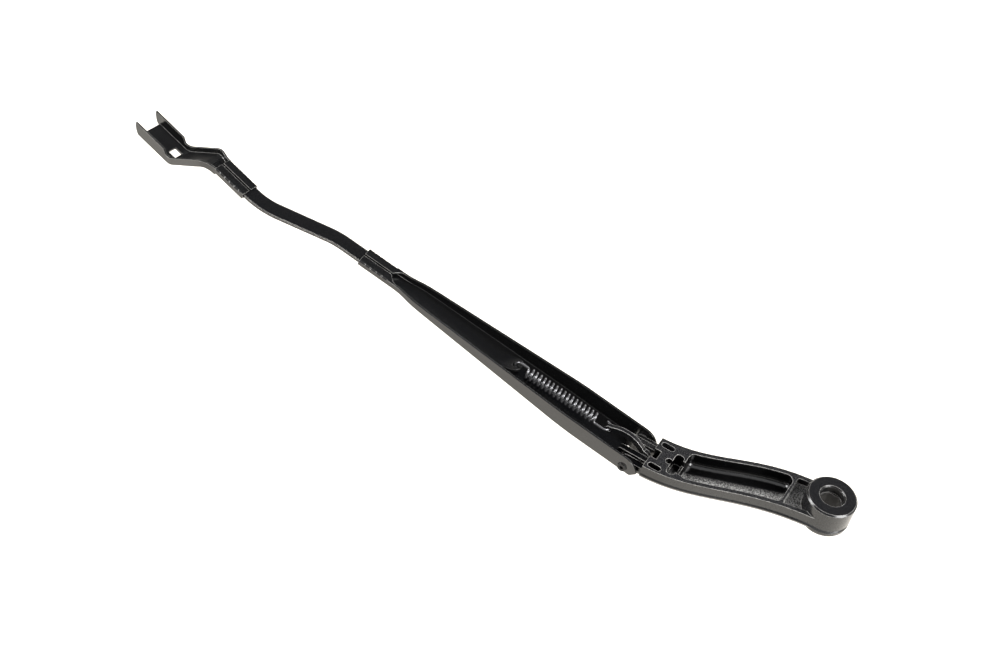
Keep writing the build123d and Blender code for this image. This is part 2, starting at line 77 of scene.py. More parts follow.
# Distances at which a copy's loose triangles are merged.
MERGE_GAP = 2e-6
TINY_EDGE = 1e-6

RANGE_SOCKETS = ("From Min", "From Max", "To Min", "To Max")


def arm_place() -> Matrix:
    """The arm's own frame: its origin on the hinge axis and x along the arm."""
    return Matrix.Translation(HINGE_SPOT) @ Matrix.Rotation(-FREE_ANGLE, 4, "Y")


def bracket_place() -> Matrix:
    """The tip bracket's own frame: its origin at the clamp's rear end and x towards the fork."""
    spot = Matrix.Translation(BRACKET_SPOT)
    return arm_place() @ spot @ Matrix.Rotation(BRACKET_TURN, 4, "Z")


def tint(colour: Colour, factor: float) -> Colour:
    """A lighter or darker colour, with no part above 1."""
    return tuple(min(1.0, factor * part) for part in colour)


def read_between(stations: Stations, along: float) -> float:
    """Read a value between the two nearest stations.

    Args:
        stations: pairs of a distance and the value there, in order.
        along: the distance to read at.

    Returns:
        The value, which stays level before the first station and after the last.
    """
    before = stations[0]
    for station in stations:
        if along <= station[0]:
            span = station[0] - before[0]
            share = (along - before[0]) / span if span else 0.0
            return before[1] + share * (station[1] - before[1])
        before = station
    return before[1]


class Body(Enum):
    """The bodies that pieces move with."""

    HEAD = "head"
    ARM = "arm"
    LINK = "link"


class Slot(Enum):
    """The record's material slots."""

    CAST = "cast_paint"
    SHEET = "sheet_paint"
    BAR = "bar_paint"
    PIN = "pin_steel"
    RIVET = "rivet_steel"
    SPRING = "spring_steel"
    LINK = "link_steel"
    BUSH = "bush_plastic"


class ShadeZone(Enum):
    """The part of a piece that gets the duller black as painted shade."""

    NONE = "none"
    BORE_AND_LUGS = "inside the pivot bore and between the hinge lugs"
    NECK_FLOOR = "the floor of the bracket's neck and fork"


class Marks(Enum):
    """What a surface carries besides its grain."""

    NONE = "none"
    # In CAST the darkened recesses are painted shade and the floor's sparkle is a painted sheen.
    CAST = "turned rings on the boss, dark hollows, and a dished trough with a glittering floor"
    DRAWN_LINES = "fine lines along the piece"


class Mix(Enum):
    """What a Mix node mixes: its data type, and the places of its two values and its result."""

    COLOURS = ("RGBA", 6, 7, 2)
    NUMBERS = ("FLOAT", 2, 3, 0)


class NodeSheet:
    """Adds and joins the shader nodes of one material."""

    def __init__(self, name: str) -> None:
        """Start an empty material with its output and main shader.

        Args:
            name: the material's name.
        """
        self.material = bpy.data.materials.new(name)
        self.material.use_nodes = True
        self.tree = self.material.node_tree
        self.tree.nodes.clear()
        self.shader = self.add("ShaderNodeBsdfPrincipled")
        output = self.add("ShaderNodeOutputMaterial")
        self.join(self.shader.outputs["BSDF"], output.inputs["Surface"])
        self.place = self.add("ShaderNodeTexCoord").outputs["Object"]

    def add(self, kind: str, **settings: object) -> bpy.types.Node:
        """Add one node.

        Args:
            kind: Blender's node type.
            settings: attributes to set on the node.

        Returns:
            The new node.
        """
        node = self.tree.nodes.new(kind)
        for key, value in settings.items():
            setattr(node, key, value)
        return node

    def join(self, source: Socket, target: Socket) -> None:
        """Link two sockets."""
        self.tree.links.new(source, target)

    def feed(self, value: Union[Operand, Colour], target: Socket) -> None:
        """Link a socket to another, or set a number or a colour on it.

        Args:
            value: a socket, a number or a colour.
            target: the socket that takes it.
        """
        if isinstance(value, tuple):
            target.default_value = (*value, 1.0)
        elif isinstance(value, (int, float)):
            target.default_value = value
        else:
            self.join(value, target)

    def noise(self, waves: float, detail: float = 2.0,
              stretch: Triple = (1.0, 1.0, 1.0)) -> Socket:
        """Add a noise in the object's own metres.

        Args:
            waves: waves per metre.
            detail: octaves.
            stretch: factors on the three axes.

        Returns:
            The noise's value, from 0 to 1.
        """
        mapping = self.add("ShaderNodeMapping")
        mapping.inputs["Scale"].default_value = stretch
        self.join(self.place, mapping.inputs["Vector"])
        texture = self.add("ShaderNodeTexNoise")
        texture.inputs["Scale"].default_value = waves
        texture.inputs["Detail"].default_value = detail
        self.join(mapping.outputs["Vector"], texture.inputs["Vector"])
        return texture.outputs["Fac"]

    def calc(self, operation: str, *values: Operand) -> Socket:
        """Work out one value from one or two others.

        Args:
            operation: Blender's name of the operation.
            values: sockets or numbers.

        Returns:
            The result's socket.
        """
        node = self.add("ShaderNodeMath", operation=operation)
        for value, target in zip(values, node.inputs):
            self.feed(value, target)
        return node.outputs[0]

    def times(self, first: Operand, second: Operand) -> Socket:
        """Multiply two values."""
        return self.calc("MULTIPLY", first, second)

    def remap(self, value: Socket, limits: Range, onto: Range = (0.0, 1.0)) -> Socket:
        """Stretch a value from one range to another, with its ends clamped.

        Args:
            value: the socket to stretch.
            limits: start and end of the range that is read.
            onto: what the start and the end become.

        Returns:
            The stretched value.
        """
        node = self.add("ShaderNodeMapRange")
        for name, number in zip(RANGE_SOCKETS, (*limits, *onto)):
            node.inputs[name].default_value = number
        self.join(value, node.inputs["Value"])
        return node.outputs["Result"]

    def blend(self, share: Socket, first: Paint, second: Paint, kind: Mix = Mix.COLOURS) -> Socket:
        """Mix two colours or two numbers.

        Args:
            share: how much of the second shows.
            first: a colour or a socket.
            second: a colour or a socket.
            kind: whether colours or numbers are mixed.

        Returns:
            The mix.
        """
        data_type, lower, upper, result = kind.value
        node = self.add("ShaderNodeMix", data_type=data_type)
        self.join(share, node.inputs[0])
        self.feed(first, node.inputs[lower])
        self.feed(second, node.inputs[upper])
        return node.outputs[result]

    def split(self, vector: Socket) -> Sockets:
        """Split a vector into its X, Y and Z.

        Args:
            vector: the vector's socket.

        Returns:
            The three sockets, by name.
        """
        node = self.add("ShaderNodeSeparateXYZ")
        self.join(vector, node.inputs["Vector"])
        return node.outputs

    def axes(self) -> Sockets:
        """The place on the piece as X, Y and Z, in metres."""
        return self.split(self.place)

    def normal(self) -> Socket:
        """The surface's own normal, without its soft edges."""
        return self.add("ShaderNodeNewGeometry").outputs["Normal"]


@dataclass
class CastingMap:
    """Where the casting's trough, bore, boss and hinge end lie, for its paint to follow.

    A range gives where a mask is nil and where it is full, in metres where it is a place.
    """

    sheet: NodeSheet
    sweep: float = -0.4525
    trough_middle: float = 0.00785
    trough_walls: Range = (0.0121, 0.0115)
    trough_rim: Range = (-0.0082, -0.0092)
    bore_wall: Range = (0.0079, 0.0074)
    hinge_end: Range = (0.0985, 0.0995)
    near_half: Range = (-0.0105, -0.0045)
    trough_floor: Range = (-0.0145, -0.0155)
    pocket_end: Range = (0.033, 0.032)
    pocket_share: Range = (0.0, 0.4)
    pocket_rim: Range = (-0.0105, -0.0112)
    pocket_floor: Range = (-0.0155, -0.0145)
    facing_up: Range = (0.6, 0.8)
    # The speckle size, band and share of the painted sheen on the floors.
    sheen_speckle_waves: float = 1500.0
    sheen_speckle_band: Range = (0.42, 0.62)
    sheen_speckle_share: Range = (0.12, 1.0)
    dish_start: float = 0.0085
    dish_power: float = 1.5
    dish_rise: float = 0.93
    dish_level: Range = (-0.0135, -0.0155)
    boss_face: Range = (-0.0009, -0.0003)
    ring_pitch: float = 0.0008
    ring_share: float = 0.1

    def across(self) -> Socket:
        """How far along Y a point lies from the trough's slant through the bore's axis."""
        axes = self.sheet.axes()
        return self.sheet.calc("ADD", axes["Y"], self.sheet.times(axes["X"], self.sweep))

    def level(self, limits: Range, onto: Range = (0.0, 1.0)) -> Socket:
        """A mask by height."""
        return self.sheet.remap(self.sheet.axes()["Z"], limits, onto)

    def bore_distance(self) -> Socket:
        """How far a point lies from the pivot bore's axis.

        Returns:
            The distance in metres.
        """
        axes = self.sheet.axes()
        squares = [self.sheet.calc("POWER", axes[name], 2.0) for name in ("X", "Y")]
        return self.sheet.calc("SQRT", self.sheet.calc("ADD", *squares))

    def trough(self) -> Socket:
        """How far inside the trough a point lies.

        Returns:
            The share, which is 1 below the rim and between the side walls.
        """
        middle = self.sheet.calc("ADD", self.across(), self.trough_middle)
        between = self.sheet.remap(self.sheet.calc("ABSOLUTE", middle), self.trough_walls)
        return self.sheet.times(between, self.level(self.trough_rim))

    def painted_hollow_shade(self) -> Socket:
        """Where painted shade darkens the paint: the trough, the bore and the hinge end.

        Returns:
            The share, from 0 to 1.
        """
        bore = self.sheet.remap(self.bore_distance(), self.bore_wall)
        hinge = self.sheet.remap(self.sheet.axes()["X"], self.hinge_end)
        ends = self.sheet.calc("MAXIMUM", bore, hinge)
        return self.sheet.calc("MAXIMUM", self.trough(), ends)

    def painted_sheen(self) -> Socket:
        """Where a painted sheen lightens the floors in speckles: by the trough's near wall and in
        the boss's pocket.

        Returns:
            The share, from 0 to 1.
        """
        sheet = self.sheet
        near = sheet.remap(self.across(), self.near_half)
        trough = sheet.times(self.trough(), sheet.times(near, self.level(self.trough_floor)))
        by_boss = sheet.remap(sheet.axes()["X"], self.pocket_end, self.pocket_share)
        pocket = sheet.times(by_boss, self.level(self.pocket_rim))
        pocket = sheet.times(pocket, self.level(self.pocket_floor))
        upward = sheet.remap(sheet.split(sheet.normal())["Z"], self.facing_up)
        floors = sheet.times(sheet.calc("MAXIMUM", trough, pocket), upward)
        grains = sheet.noise(self.sheen_speckle_waves)
        return sheet.times(floors, sheet.remap(grains, self.sheen_speckle_band, self.sheen_speckle_share))

    def dish(self) -> Socket:
        """The soft dish of the trough's floor, which lifts towards the near wall.

        Returns:
            The lift in metres, nil above the floor.
        """
        sheet = self.sheet
        from_start = sheet.calc("ADD", self.across(), self.dish_start)
        curve = sheet.calc("POWER", sheet.calc("MAXIMUM", from_start, 0.0), self.dish_power)
        return sheet.times(sheet.times(curve, self.dish_rise), self.level(self.dish_level))

    def with_rings(self, height: Socket) -> Socket:
        """Swap the grain for lathe rings on the boss's flat face.

        Args:
            height: the grain elsewhere.

        Returns:
            The height with the rings in it.
        """
        sheet = self.sheet
        turns = sheet.times(self.bore_distance(), 2 * math.pi / self.ring_pitch)
        relief = sheet.times(sheet.calc("SINE", turns), self.ring_share)
        return sheet.blend(self.level(self.boss_face), height, relief, Mix.NUMBERS)


@dataclass(frozen=True)
class Finish:
    """A painted, lacquered or uncoated surface with grain and soft edges that carry painted
    glints, which also stand for rubbed paint.

    The values in capitals are the same for every finish. EDGE_TURN holds cosines of the angle
    between the surface's own normal and the one with soft edges.
    """

    FINE_DETAIL: ClassVar[float] = 3.0
    NOISE_BAND: ClassVar[Range] = (0.3, 0.7)
    CLOUD_WAVES: ClassVar[float] = 900.0
    CLOUD_TINTS: ClassVar[Range] = (0.8, 1.25)
    # How far painted shade darkens the casting's paint in the trough, the bore and the hinge end.
    PAINTED_SHADE_TINT: ClassVar[float] = 0.15
    # The light grey of the painted sheen on the casting's floors.
    PAINTED_SHEEN: ClassVar[Colour] = (0.34, 0.336, 0.325)
    # The patch, edge and fade values below shape the painted edge glints, which also stand for
    # rubbed paint.
    PATCH_WAVES: ClassVar[float] = 450.0
    PATCH_BAND: ClassVar[Range] = (0.35, 0.65)
    PATCH_SHARE: ClassVar[Range] = (0.5, 1.0)
    EDGE_TURN: ClassVar[Range] = (0.985, 0.86)
    EDGE_FACING_UP: ClassVar[Range] = (0.1, 0.35)
    BRIGHT_FADE: ClassVar[float] = 0.006
    BRIGHT_SHARE: ClassVar[Range] = (0.08, 1.0)
    BEVEL_SAMPLES: ClassVar[int] = 6
    SMEAR_WAVES: ClassVar[float] = 600.0
    SMEAR_SPREAD: ClassVar[float] = 0.04
    CAST_SPREAD: ClassVar[float] = 0.1
    TROUGH_GLOSS: ClassVar[Range] = (1.0, 0.6)
    BOSS_GLOSS: ClassVar[Range] = (1.0, 0.72)
    LINES_STRETCH: ClassVar[Triple] = (0.04, 1.0, 1.0)
    COAT_ROUGHNESS: ClassVar[float] = 0.12

    name: str
    colour: Colour
    # The colour of the painted edge glints, which also stand for rubbed paint.
    glint_and_wear_colour: Colour
    roughness: float
    grain_size: float
    grain_height: float
    edge_radius: float
    # How strong the painted edge glints and rubbed paint are at most.
    glint_and_wear_share: float
    gloss: float = 0.5
    coat: float = 0.0
    metallic: float = 0.0
    marks: Marks = Marks.NONE
    bright_from: Optional[float] = None

    def material(self) -> bpy.types.Material:
        """Build the finish once and hand out the same material after that."""
        return bpy.data.materials.get(self.name) or self.build()

    def build(self) -> bpy.types.Material:
        """Build the node material.

        Returns:
            The new material.
        """
        sheet = NodeSheet(self.name)
        bevel = sheet.add("ShaderNodeBevel", samples=self.BEVEL_SAMPLES)
        bevel.inputs["Radius"].default_value = self.edge_radius
        self.paint_colour(sheet, bevel.outputs["Normal"])
        self.paint_surface(sheet, bevel.outputs["Normal"])
        inputs = sheet.shader.inputs
        inputs["Metallic"].default_value = self.metallic
        inputs["Coat Weight"].default_value = self.coat
        inputs["Coat Roughness"].default_value = self.COAT_ROUGHNESS
        inputs["Specular IOR Level"].default_value = self.gloss
        return sheet.material

    def paint_colour(self, sheet: NodeSheet, rounded: Socket) -> None:
        """Give the shader a base colour that clouds a little and carries painted light: shade and
        a sheen on the casting, and glints along the edges that also stand for rubbed paint.

        Args:
            sheet: the material's nodes.
            rounded: the normal with soft edges.
        """
        cloud = sheet.remap(sheet.noise(self.CLOUD_WAVES, self.FINE_DETAIL), self.NOISE_BAND)
        deep, light = (tint(self.colour, factor) for factor in self.CLOUD_TINTS)
        base = sheet.blend(cloud, deep, light)
        if self.marks is Marks.CAST:
            casting = CastingMap(sheet)
            # Painted shade darkens the trough, the bore and the hinge end.
            base = sheet.blend(casting.painted_hollow_shade(), base, tint(self.colour, self.PAINTED_SHADE_TINT))
            # A painted sheen lightens the trough's near floor and the boss's pocket in speckles.
            base = sheet.blend(casting.painted_sheen(), base, self.PAINTED_SHEEN)
        patchy = sheet.remap(sheet.noise(self.PATCH_WAVES), self.PATCH_BAND, self.PATCH_SHARE)
        # Painted glints, partly rubbed paint, lighten the edges that face up.
        glint_and_wear = sheet.times(self.edge_glint_and_wear(sheet, rounded), patchy)
        sheet.join(sheet.blend(glint_and_wear, base, self.glint_and_wear_colour), sheet.shader.inputs["Base Color"])

    def edge_glint_and_wear(self, sheet: NodeSheet, rounded: Socket) -> Socket:
        """How much painted glint, which also stands for rubbed paint, a point carries on edges
        that face up.

        Args:
            sheet: the material's nodes.
            rounded: the normal with soft edges, which tells how near an edge is.

        Returns:
            The share, from 0 to the finish's share of painted glint and rubbed paint.
        """
        turn = sheet.add("ShaderNodeVectorMath", operation="DOT_PRODUCT")
        sheet.join(rounded, turn.inputs[0])
        sheet.join(sheet.normal(), turn.inputs[1])
        edge = sheet.remap(turn.outputs["Value"], self.EDGE_TURN, (0.0, self.glint_and_wear_share))
        # Only edges that face up towards the lights get the painted glint.
        upward = sheet.remap(sheet.split(rounded)["Z"], self.EDGE_FACING_UP)
        edge = sheet.times(edge, upward)
        # On the sheet the painted glints fade in along X from bright_from, and stay faint before
        # it.
        if self.bright_from is not None:
            fade = (self.bright_from - self.BRIGHT_FADE, self.bright_from)
            edge = sheet.times(edge, sheet.remap(sheet.axes()["X"], fade, self.BRIGHT_SHARE))
        return edge

    def paint_surface(self, sheet: NodeSheet, rounded: Socket) -> None:
        """Give the shader its roughness and its grain.

        Args:
            sheet: the material's nodes.
            rounded: the normal with soft edges, which the grain sits on.
        """
        spread = self.CAST_SPREAD if self.marks is Marks.CAST else self.SMEAR_SPREAD
        limits = (self.roughness * (1 - spread), self.roughness * (1 + spread))
        smear = sheet.noise(self.SMEAR_WAVES, self.FINE_DETAIL)
        rough = sheet.remap(smear, self.NOISE_BAND, limits)
        height = sheet.times(self.grain(sheet), self.grain_height)
        if self.marks is Marks.CAST:
            casting = CastingMap(sheet)
            trough = sheet.remap(casting.trough(), (0.0, 1.0), self.TROUGH_GLOSS)
            boss = casting.level(casting.boss_face, self.BOSS_GLOSS)
            rough = sheet.times(sheet.times(rough, trough), boss)
            height = sheet.calc("ADD", height, casting.dish())
        sheet.join(rough, sheet.shader.inputs["Roughness"])
        bump = sheet.add("ShaderNodeBump")
        bump.inputs["Strength"].default_value = 1.0
        bump.inputs["Distance"].default_value = 1.0
        sheet.join(height, bump.inputs["Height"])
        sheet.join(rounded, bump.inputs["Normal"])
        sheet.join(bump.outputs["Normal"], sheet.shader.inputs["Normal"])

    def grain(self, sheet: NodeSheet) -> Socket:
        """The surface's relief, with the marks that it carries.

        Args:
            sheet: the material's nodes.

        Returns:
            The height, as a share of the grain's own.
        """
        waves = 1.0 / self.grain_size
        if self.marks is Marks.DRAWN_LINES:
            return sheet.noise(waves, stretch=self.LINES_STRETCH)
        height = sheet.noise(waves, self.FINE_DETAIL)
        return CastingMap(sheet).with_rings(height) if self.marks is Marks.CAST else height


# In each finish, glint_and_wear_colour and glint_and_wear_share set its painted edge glints, which
# also stand for rubbed paint.
BLACK_CASTING = Finish(
    "black_paint_on_casting", colour=(0.005, 0.005, 0.0055), glint_and_wear_colour=(0.42, 0.41, 0.39),
    roughness=0.265, grain_size=0.0007, grain_height=0.00003, edge_radius=0.0006, glint_and_wear_share=0.85,
    gloss=0.42, marks=Marks.CAST)
# A duller, less glossy black put as painted shade inside the pivot bore, between the hinge lugs
# and on the neck's floor; in the bore it is partly the unpainted bore's own matt look.
SHADE_BLACK = Finish(
    "dull_black_as_painted_shade", colour=(0.004, 0.004, 0.0042), glint_and_wear_colour=(0.26, 0.255, 0.245),
    roughness=0.45, grain_size=0.0005, grain_height=0.00002, edge_radius=0.0005, glint_and_wear_share=0.75,
    gloss=0.12)
BLACK_SHEET = Finish(
    "gloss_black_paint_on_sheet", colour=(0.0025, 0.0025, 0.0026), glint_and_wear_colour=(0.3, 0.295, 0.28),
    roughness=0.2, grain_size=0.0011, grain_height=0.000018, edge_radius=0.0005, glint_and_wear_share=0.8,
    bright_from=0.272)
BLACK_BAR = Finish(
    "satin_black_paint_on_bar", colour=(0.0025, 0.0025, 0.0027), glint_and_wear_colour=(0.8, 0.78, 0.74),
    roughness=0.19, grain_size=0.0012, grain_height=0.000002, edge_radius=0.0009, glint_and_wear_share=1.0,
    marks=Marks.DRAWN_LINES)
DARK_PIN = Finish(
    "dark_oiled_steel", colour=(0.02, 0.02, 0.021), glint_and_wear_colour=(0.2, 0.2, 0.2),
    roughness=0.3, grain_size=0.0005, grain_height=0.00001, edge_radius=0.0003, glint_and_wear_share=0.5,
    metallic=0.6)
RIVET_PAINT = Finish(
    "painted_rivet_steel", colour=(0.003, 0.003, 0.003), glint_and_wear_colour=(0.25, 0.245, 0.235),
    roughness=0.16, grain_size=0.0006, grain_height=0.00002, edge_radius=0.0003, glint_and_wear_share=0.5,
    gloss=0.2)
WIRE_LACQUER = Finish(
    "gloss_black_lacquer_on_wire", colour=(0.09, 0.09, 0.094), glint_and_wear_colour=(0.12, 0.12, 0.12),
    roughness=0.18, grain_size=0.0009, grain_height=0.000012, edge_radius=0.0002, glint_and_wear_share=0.2,
    coat=0.3, metallic=0.7)
LINK_OXIDE = Finish(
    "black_oxide_on_link", colour=(0.005, 0.005, 0.0055), glint_and_wear_colour=(0.5, 0.5, 0.48),
    roughness=0.2, grain_size=0.0006, grain_height=0.00001, edge_radius=0.0005, glint_and_wear_share=0.9,
    metallic=0.1)
BUSH_NYLON = Finish(
    "moulded_black_nylon", colour=(0.008, 0.008, 0.008), glint_and_wear_colour=(0.03, 0.03, 0.03),
    roughness=0.5, grain_size=0.0004, grain_height=0.00002, edge_radius=0.0003, glint_and_wear_share=0.3)


class Trim:
    """A small change to a solid's copy, for a form that the solid has only roughly."""

    def apply(self, shape: bmesh.types.BMesh) -> None:
        """Change the copy, which a plain trim leaves as it is."""


@dataclass(frozen=True)
class WallTrim(Trim):
    """Sets a pressed piece's walls further apart, by an amount that follows its length."""

    place: Matrix
    stations: Stations
    core: float = 0.0044

    def apply(self, shape: bmesh.types.BMesh) -> None:
        """Cut the copy across at each station and move its walls.

        Args:
            shape: the copy.
        """
        back = self.place.inverted()
        lengthwise = self.place.to_3x3() @ Vector((1.0, 0.0, 0.0))
        for along, _ in self.stations:
            geometry = shape.verts[:] + shape.edges[:] + shape.faces[:]
            spot = self.place @ Vector((along, 0.0, 0.0))
            bmesh.ops.bisect_plane(
                shape, geom=geometry, dist=TINY_EDGE, plane_co=spot, plane_no=lengthwise)
        for vert in shape.verts:
            spot = back @ vert.co
            outward = max(-1.0, min(1.0, spot.y / self.core))
            spot.y += outward * read_between(self.stations, spot.x)
            vert.co = self.place @ spot


@dataclass(frozen=True)
class BarTrim(Trim):
    """Makes the bar wider by moving its long sides out, at the near bend only the inner one.

    The headings are the bar's direction in plan, in degrees, at distances along the arm.
    """

    extra: float = 0.0008
    apex: float = 0.2527
    apex_half: float = 0.022
    headings: Stations = ((0.2028, 0.0), (0.2152, 16.0), (0.2453, 16.0), (0.2603, -11.2))

    def apply(self, shape: bmesh.types.BMesh) -> None:
        """Move each side of the copy outwards.

        Args:
            shape: the copy.
        """
        place = arm_place()
        back = place.inverted()
        shape.normal_update()
        moves = []
        for vert in shape.verts:
            along = (back @ vert.co).x
            angle = math.radians(read_between(self.headings, along))
            side = place.to_3x3() @ Vector((-math.sin(angle), math.cos(angle), 0.0))
            off_apex = max(-1.0, min(1.0, (along - self.apex) / self.apex_half))
            inward = self.extra * math.cos(0.5 * math.pi * off_apex) ** 2
            moves.append(side * (math.copysign(self.extra, vert.normal.dot(side)) - inward))
        for vert, move in zip(shape.verts, moves):
            vert.co += move


@dataclass(frozen=True)
class LinkTrim(Trim):
    """Makes the link slimmer and arches it a little more between its two eyes."""

    width_share: float = 0.75
    middle: float = 0.0062
    half_span: float = 0.012
    lift: float = 0.0017

    def apply(self, shape: bmesh.types.BMesh) -> None:
        """Squeeze and arch the copy.

        Args:
            shape: the copy.
        """
        place = arm_place()
        back = place.inverted()
        for vert in shape.verts:
            spot = back @ vert.co
            off_middle = (spot.x - self.middle) / self.half_span
            spot.z += self.lift * max(0.0, 1.0 - off_middle ** 2)
            spot.y *= self.width_share
            vert.co = place @ spot


# Pairs of a distance along the piece and how far each wall moves out there.
CHANNEL_TRIM = WallTrim(arm_place(), (
    (0.045, 0.0), (0.1, 0.00116), (0.143, 0.00207), (0.149, 0.0021), (0.153, 0.0019),
    (0.157, 0.0014), (0.161, 0.00095), (0.166, 0.0008)))
BRACKET_TRIM = WallTrim(bracket_place(), (
    (0.023, 0.0008), (0.0255, 0.00105), (0.0275, 0.0017), (0.03, 0.0025), (0.032, 0.0028),
    (0.035, 0.0025), (0.039, 0.0019), (0.044, 0.0011), (0.049, 0.0004), (0.054, 0.0)))


def settle(piece: bpy.types.Object, body: Body, node: str) -> None:
    """Tie a piece to its body and the solid that it stands for.

    Args:
        piece: the finished object.
        body: the body that it moves with.
        node: the solid that it stands for.
    """
    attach(piece, body.value)
    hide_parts(node)
    log.info("%s rides on %s and stands for %s", piece.name, body.value, node)


@dataclass
class SolidPiece:
    """A rigid piece that stands for its solid, with its curves made smooth.

    The values in capitals say which edges stay sharp and where the faces with painted shade lie.
    """

    SHARP_ANGLE: ClassVar[float] = math.radians(32.0)
    NORMAL_WEIGHT: ClassVar[int] = 80
    FACING: ClassVar[float] = 0.5
    NECK_START: ClassVar[float] = 0.398
    BORE_REACH: ClassVar[float] = 0.012
    BORE_TOP: ClassVar[float] = -0.0003
    LUG_START: ClassVar[float] = 0.0985
    LUG_GAP_END: ClassVar[float] = 0.036

    name: str
    node: str
    body: Body
    slot: Slot
    finish: Finish
    trim: Trim = Trim()
    shade_zone: ShadeZone = ShadeZone.NONE

    def build(self) -> bpy.types.Object:
        """Make a smooth copy of the solid and let it stand for the solid.

        Returns:
            The finished piece.
        """
        mesh = self.smooth_mesh()
        piece = bpy.data.objects.new(self.name, mesh)
        bpy.context.scene.collection.objects.link(piece)
        even = piece.modifiers.new("even_normals", "WEIGHTED_NORMAL")
        even.keep_sharp = True
        even.weight = self.NORMAL_WEIGHT
        mesh.materials.append(self.finish.material())
        # Faces that lie in shade get the duller black as painted shade.
        if self.shade_zone is not ShadeZone.NONE:
            mesh.materials.append(SHADE_BLACK.material())
            for face in mesh.polygons:
                face.material_index = int(self.in_shade_zone(face))
        settle(piece, self.body, self.node)
        return piece

    def in_shade_zone(self, face: bpy.types.MeshPolygon) -> bool:
        """Tell whether a face lies where the piece gets painted shade.

        Args:
            face: one face of the piece.

        Returns:
            True for a face that gets the duller black as painted shade.
        """
        spot = face.center
        if self.shade_zone is ShadeZone.NECK_FLOOR:
            return spot.x > self.NECK_START and face.normal.z > self.FACING
        in_bore = math.hypot(spot.x, spot.y) < self.BORE_REACH and spot.z < self.BORE_TOP
        by_lugs = spot.x > self.LUG_START and spot.y < self.LUG_GAP_END
        return in_bore or (by_lugs and face.normal.y > self.FACING)

    def smooth_mesh(self) -> bpy.types.Mesh:
        """Merge a copy of the solid's loose triangles, trim it and shade its curves smooth.

        Returns:
            The merged mesh, inside the solids' box.
        """
        shape = bmesh.new()
        shape.from_mesh(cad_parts[self.node].data)
        bmesh.ops.remove_doubles(shape, verts=shape.verts, dist=MERGE_GAP)
        bmesh.ops.dissolve_degenerate(shape, edges=shape.edges, dist=TINY_EDGE)
        self.trim.apply(shape)
        for vert in shape.verts:
            vert.co = [max(low, min(high, part))
                       for low, part, high in zip(CAD_BOX[0], vert.co, CAD_BOX[1])]
        shape.normal_update()
        for face in shape.faces:
            face.smooth = True
        for edge in shape.edges:
            edge.smooth = edge.is_manifold and edge.calc_face_angle(0.0) < self.SHARP_ANGLE
        mesh = bpy.data.meshes.new(self.name)
        shape.to_mesh(mesh)
        shape.free()
        stored = mesh.attributes.get("custom_normal")
        if stored:
            mesh.attributes.remove(stored)
        return mesh


class WireTree:
    """The node tree that draws a round wire along a line."""

    def __init__(self, name: str) -> None:
        """Build the tree.

        Args:
            name: the tree's name.
        """
        self.tree = bpy.data.node_groups.new(name, "GeometryNodeTree")
        self.add_input("Line", "NodeSocketGeometry")
        self.radius = self.add_input("Wire radius", "NodeSocketFloat")
        self.sides = self.add_input("Wire sides", "NodeSocketInt")
        self.paint = self.add_input("Finish", "NodeSocketMaterial")
        self.tree.interface.new_socket("Wire", in_out="OUTPUT", socket_type="NodeSocketGeometry")
        self.join_up()

    def add_input(self, name: str, kind: str) -> str:
        """Add a named input and give its identifier."""
        return self.tree.interface.new_socket(name, in_out="INPUT", socket_type=kind).identifier

    def join_up(self) -> None:
        """Add the nodes and link them from the line to the painted wire."""
        nodes = self.tree.nodes
        links = self.tree.links
        start = nodes.new("NodeGroupInput")
        end = nodes.new("NodeGroupOutput")
        curve = nodes.new("GeometryNodeMeshToCurve")
        profile = nodes.new("GeometryNodeCurvePrimitiveCircle")
        tube = nodes.new("GeometryNodeCurveToMesh")
        smooth = nodes.new("GeometryNodeSetShadeSmooth")
        realize = nodes.new("GeometryNodeRealizeInstances")
        paint = nodes.new("GeometryNodeSetMaterial")
        tube.inputs["Fill Caps"].default_value = True
        links.new(start.outputs["Line"], curve.inputs["Mesh"])
        links.new(start.outputs["Wire radius"], profile.inputs["Radius"])
        links.new(start.outputs["Wire sides"], profile.inputs["Resolution"])
        links.new(curve.outputs["Curve"], tube.inputs["Curve"])
        links.new(profile.outputs["Curve"], tube.inputs["Profile Curve"])
        links.new(tube.outputs["Mesh"], smooth.inputs["Geometry"])
        links.new(smooth.outputs["Geometry"], realize.inputs["Geometry"])
        links.new(realize.outputs["Geometry"], paint.inputs["Geometry"])
        links.new(start.outputs["Finish"], paint.inputs["Material"])
        links.new(paint.outputs["Geometry"], end.inputs["Wire"])

    def sweep(self, name: str, line: Line, radius: float, sides: int,
              finish: Finish) -> bpy.types.Object:
        """Draw a wire along a line and turn it into a plain mesh.

        Args:
            name: the piece's name.
            line: points along the wire's middle.
            radius: the wire's radius.
            sides: faces round the wire.
            finish: the wire's finish.

        Returns:
            The wire, as an object at the origin.
        """
        track = bpy.data.meshes.new(name + "_line")
        track.from_pydata(line, [(i, i + 1) for i in range(len(line) - 1)], [])
        carrier = bpy.data.objects.new(name, track)
        bpy.context.scene.collection.objects.link(carrier)
        modifier = carrier.modifiers.new("wire", "NODES")
        modifier.node_group = self.tree
        modifier[self.radius] = radius
        modifier[self.sides] = sides
        modifier[self.paint] = finish.material()
        depsgraph = bpy.context.evaluated_depsgraph_get()
        mesh = bpy.data.meshes.new_from_object(carrier.evaluated_get(depsgraph))
        carrier.modifiers.clear()
        carrier.data = mesh
        bpy.data.meshes.remove(track)
        return carrier


